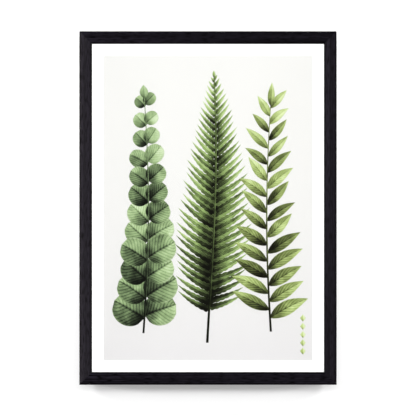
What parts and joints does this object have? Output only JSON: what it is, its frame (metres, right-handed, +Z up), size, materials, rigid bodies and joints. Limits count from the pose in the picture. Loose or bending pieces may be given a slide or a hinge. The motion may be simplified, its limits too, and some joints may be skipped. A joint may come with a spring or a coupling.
{
  "type": "framed art print",
  "caption": "Upright wooden picture frame with a black satin stain, a glazed paper print with a white margin, swivelling turn buttons on the back and a sawtooth hanging plate.",
  "frame": {"origin": "the hanging point: the middle notch of the sawtooth plate on the top rail, in the plane of the rails' back faces", "axes": "+Z up, +X to the right of someone who looks at the picture, +Y into the wall, so the picture faces -Y"},
  "size_m": [0.3234, 0.0199, 0.4445],
  "materials": {
    "black_wood": "satin",
    "picture_glass": "polished",
    "print_paper": "matte",
    "corrugated_card": "matte",
    "hardboard": "matte",
    "zinc_steel": "satin",
    "bumper_rubber": "satin"
  },
  "bodies": {
    "frame": {"rail_top": "black_wood", "rail_bottom": "black_wood", "rail_left": "black_wood", "rail_right": "black_wood", "corner_wedge_top_left": "zinc_steel", "corner_wedge_top_right": "zinc_steel", "corner_wedge_bottom_left": "zinc_steel", "corner_wedge_bottom_right": "zinc_steel", "glass_pane": "picture_glass", "art_print": "print_paper", "filler_card": "corrugated_card", "backing_board": "hardboard", "button_screw_top_left": "zinc_steel", "button_screw_top_right": "zinc_steel", "button_screw_bottom_left": "zinc_steel", "button_screw_bottom_right": "zinc_steel", "button_screw_left_upper": "zinc_steel", "button_screw_left_lower": "zinc_steel", "button_screw_right_upper": "zinc_steel", "button_screw_right_lower": "zinc_steel", "sawtooth_plate": "zinc_steel", "hanger_nail_left": "zinc_steel", "hanger_nail_right": "zinc_steel", "wall_bumper_left": "bumper_rubber", "wall_bumper_right": "bumper_rubber"},
    "button_top_left": {"turn_button_top_left": "zinc_steel"},
    "button_top_right": {"turn_button_top_right": "zinc_steel"},
    "button_bottom_left": {"turn_button_bottom_left": "zinc_steel"},
    "button_bottom_right": {"turn_button_bottom_right": "zinc_steel"},
    "button_left_upper": {"turn_button_left_upper": "zinc_steel"},
    "button_left_lower": {"turn_button_left_lower": "zinc_steel"},
    "button_right_upper": {"turn_button_right_upper": "zinc_steel"},
    "button_right_lower": {"turn_button_right_lower": "zinc_steel"}
  },
  "joints": [
    {"name": "swivel_top_left", "type": "hinge", "parent": "frame", "child": "button_top_left", "pos_m": [-0.08, 0.0009, 0.0022], "axis": [0, 1, 0], "range_deg": [-90, 90]},
    {"name": "swivel_top_right", "type": "hinge", "parent": "frame", "child": "button_top_right", "pos_m": [0.08, 0.0009, 0.0022], "axis": [0, 1, 0], "range_deg": [-90, 90]},
    {"name": "swivel_bottom_left", "type": "hinge", "parent": "frame", "child": "button_bottom_left", "pos_m": [-0.08, 0.0009, -0.4315], "axis": [0, 1, 0], "range_deg": [-90, 90]},
    {"name": "swivel_bottom_right", "type": "hinge", "parent": "frame", "child": "button_bottom_right", "pos_m": [0.08, 0.0009, -0.4315], "axis": [0, 1, 0], "range_deg": [-90, 90]},
    {"name": "swivel_left_upper", "type": "hinge", "parent": "frame", "child": "button_left_upper", "pos_m": [-0.15635, 0.0009, -0.09465], "axis": [0, 1, 0], "range_deg": [-90, 90]},
    {"name": "swivel_left_lower", "type": "hinge", "parent": "frame", "child": "button_left_lower", "pos_m": [-0.15635, 0.0009, -0.33465], "axis": [0, 1, 0], "range_deg": [-90, 90]},
    {"name": "swivel_right_upper", "type": "hinge", "parent": "frame", "child": "button_right_upper", "pos_m": [0.15635, 0.0009, -0.09465], "axis": [0, 1, 0], "range_deg": [-90, 90]},
    {"name": "swivel_right_lower", "type": "hinge", "parent": "frame", "child": "button_right_lower", "pos_m": [0.15635, 0.0009, -0.33465], "axis": [0, 1, 0], "range_deg": [-90, 90]}
  ]
}
